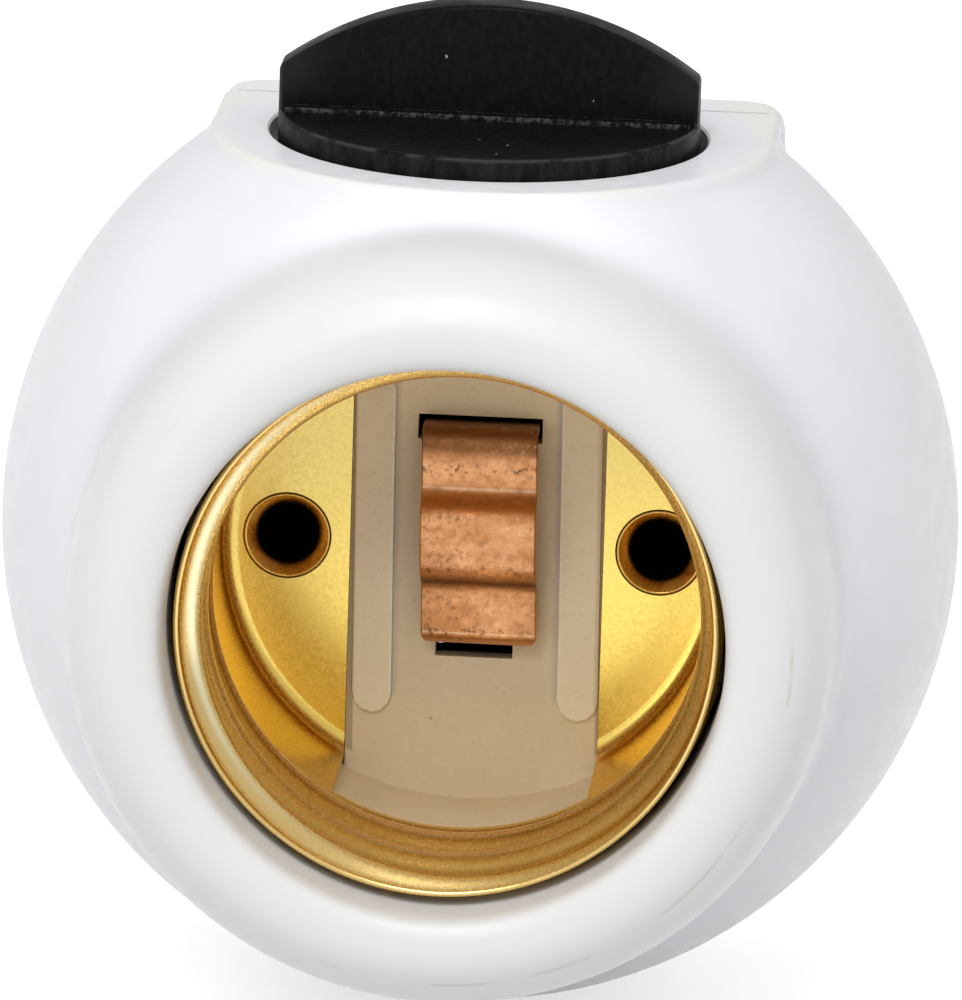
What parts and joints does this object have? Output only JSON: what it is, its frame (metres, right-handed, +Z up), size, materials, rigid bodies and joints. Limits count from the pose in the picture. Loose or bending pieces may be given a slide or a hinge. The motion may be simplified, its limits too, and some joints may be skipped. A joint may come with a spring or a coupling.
{
  "type": "turn knob lamp socket",
  "caption": "Ball shaped surface lamp holder with a brass screw shell and a rotary switch worked by a wing knob",
  "frame": {"origin": "centre of the flat back face that lies on the wall or ceiling", "axes": "+Y from the lamp into the wall, square to the back face; +Z up along the axis of the switch knob; +X to the right as seen from the lamp"},
  "size_m": [0.0506, 0.0394, 0.0535],
  "materials": {
    "white_plastic": "moulded bluish white plastic, satin with fine scuffs",
    "black_plastic": "satin black moulded plastic with worn edges",
    "beige_plastic": "beige grey moulded insulator",
    "brass": "bright pressed sheet brass with light tarnish",
    "copper": "pressed copper strip with brown tarnish on its bends",
    "steel": "zinc plated steel"
  },
  "bodies": {
    "housing": {"front_shell": "white_plastic", "back_cover": "white_plastic", "cover_screw_left": "steel", "cover_screw_right": "steel", "socket_core": "beige_plastic", "core_screw_left": "steel", "core_screw_right": "steel", "screw_shell": "brass", "eyelet_left": "brass", "eyelet_right": "brass", "centre_contact": "copper", "load_contact": "brass", "line_contact": "brass", "neutral_strap": "brass", "line_terminal": "brass", "line_terminal_screw": "steel", "neutral_terminal": "brass", "neutral_terminal_screw": "steel", "switch_bracket": "steel", "detent_spring": "steel"},
    "switch_rotor": {"spindle": "steel", "detent_wheel": "black_plastic", "rotor": "black_plastic", "contact_bridge": "brass", "retaining_clip": "steel", "knob": "black_plastic"}
  },
  "joints": [
    {"name": "knob_turn", "type": "hinge", "parent": "housing", "child": "switch_rotor", "pos_m": [-0.00015, -0.0125, 0.0222], "axis": [0, 0, 1], "continuous": true}
  ]
}
